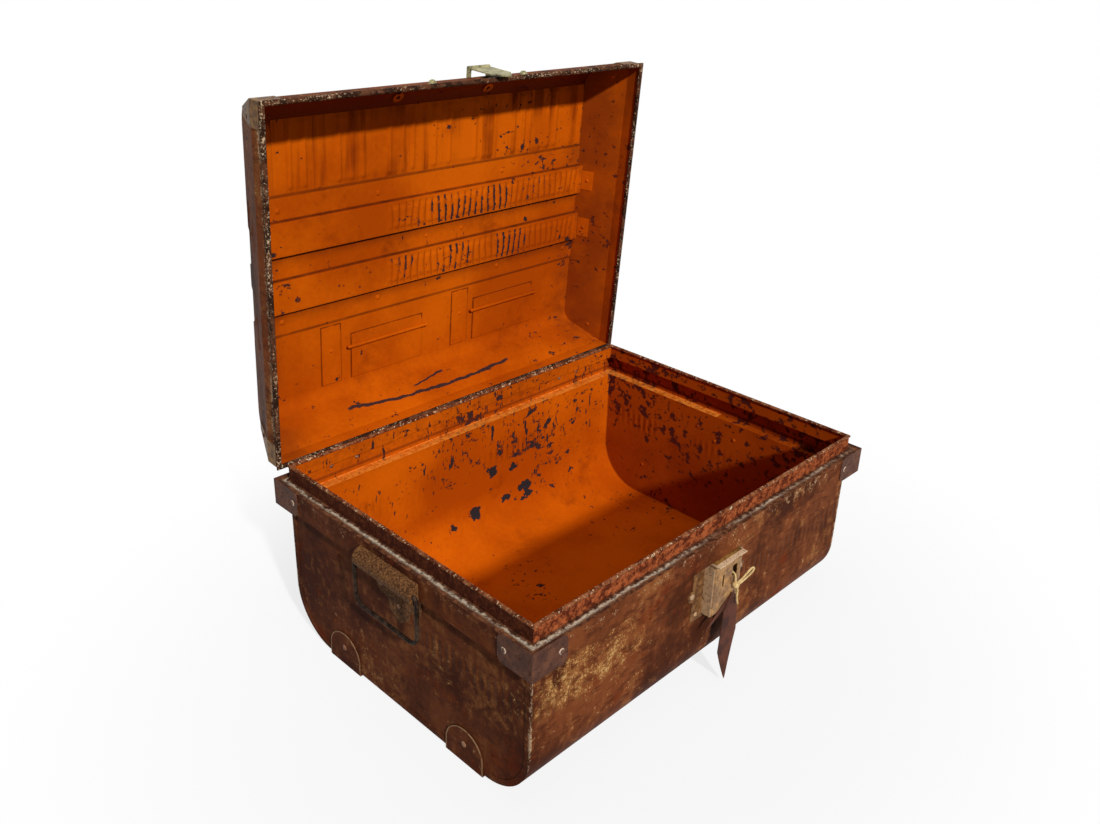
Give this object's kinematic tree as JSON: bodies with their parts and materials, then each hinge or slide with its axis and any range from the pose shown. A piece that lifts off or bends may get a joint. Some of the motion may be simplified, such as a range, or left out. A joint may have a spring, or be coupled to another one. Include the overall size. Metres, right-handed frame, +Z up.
{
  "type": "dome top trunk",
  "caption": "Sheet-metal storage trunk with a hinged domed lid standing open, hollow rim band, corner brackets, drop handles, front lock with hasp, twine bow and leather tag.",
  "frame": {"origin": "on the ground plane that the two runners stand on, under the middle of the body", "axes": "+X to the right seen from the front, +Y from the front to the back, +Z up; the lid is open 86 degrees at rest"},
  "size_m": [0.663, 0.5593, 0.7092],
  "materials": {
    "body_paint": "brown grained enamel, worn and speckled with rust",
    "lid_paint": "orange enamel, chipped to dark primer",
    "bracket_paint": "brown enamel, worn",
    "handle_paint": "bronzed enamel, rusty",
    "wire_steel": "dull, lightly rusted wire",
    "rivet_steel": "painted over, rusty heads",
    "hinge_steel": "painted strap steel",
    "brass": "aged brass, dull",
    "cap_brass": "brass-toned pressed steel, tarnished",
    "twine": "natural jute",
    "tag_leather": "dark brown leather"
  },
  "bodies": {
    "chest": {"back_runner": "body_paint", "base_rim_wire": "wire_steel", "body_rivets": "rivet_steel", "body_wrap": "body_paint", "bracket_back_left": "bracket_paint", "bracket_back_right": "bracket_paint", "bracket_front_left": "bracket_paint", "bracket_front_right": "bracket_paint", "bracket_rivets": "rivet_steel", "front_runner": "body_paint", "handle_rivets": "rivet_steel", "hinge_base_leaves": "hinge_steel", "hinge_pins": "hinge_steel", "hinge_rivets": "rivet_steel", "leather_tag": "tag_leather", "left_bolster": "handle_paint", "left_end_plate": "body_paint", "left_handle_plate": "handle_paint", "lock_case": "brass", "lock_plate": "brass", "lock_rivets": "brass", "right_bolster": "handle_paint", "right_end_plate": "body_paint", "right_handle_plate": "handle_paint", "runner_rivets": "rivet_steel", "twine_knot": "twine", "twine_loop": "twine", "twine_neck": "twine", "twine_tail": "twine"},
    "lid": {"lid_front_cove": "lid_paint", "lid_back_cove": "lid_paint", "lid_top_panel": "lid_paint", "lid_left_end": "lid_paint", "lid_right_end": "lid_paint", "lid_rim_wire": "wire_steel", "lid_cap_front_left": "cap_brass", "lid_cap_front_right": "cap_brass", "lid_cap_back_left": "cap_brass", "lid_cap_back_right": "cap_brass", "left_inner_plate": "lid_paint", "right_inner_plate": "lid_paint", "left_strap": "lid_paint", "right_strap": "lid_paint", "left_rod": "lid_paint", "right_rod": "lid_paint", "groove_tabs": "lid_paint", "front_studs": "cap_brass", "front_washers": "rivet_steel", "hasp_mount": "brass", "hasp_pin": "brass", "hinge_lid_leaves": "hinge_steel", "hinge_lid_rivets": "rivet_steel", "lid_rivets": "rivet_steel"},
    "left_bail": {"left_bail": "wire_steel"},
    "right_bail": {"right_bail": "wire_steel"},
    "hasp": {"hasp_flap": "brass"},
    "lock_bolt": {"lock_bolt": "wire_steel"}
  },
  "joints": [
    {"name": "lid_hinge", "type": "hinge", "parent": "chest", "child": "lid", "pos_m": [0, 0.2355, 0.235], "axis": [1, 0, 0], "range_deg": [0, 86]},
    {"name": "left_handle_swing", "type": "hinge", "parent": "chest", "child": "left_bail", "pos_m": [-0.325, -0.002, 0.2055], "axis": [0, 1, 0], "range_deg": [-12, 95]},
    {"name": "right_handle_swing", "type": "hinge", "parent": "chest", "child": "right_bail", "pos_m": [0.325, -0.002, 0.2055], "axis": [0, -1, 0], "range_deg": [-12, 95]},
    {"name": "hasp_lift", "type": "hinge", "parent": "lid", "child": "hasp", "pos_m": [0.03, 0.23964, 0.70619], "axis": [-1, 0, 0], "range_deg": [0, 100]},
    {"name": "lock_bolt_slide", "type": "slide", "parent": "chest", "child": "lock_bolt", "axis": [-1, 0, 0], "range_m": [0, 0.008]}
  ]
}
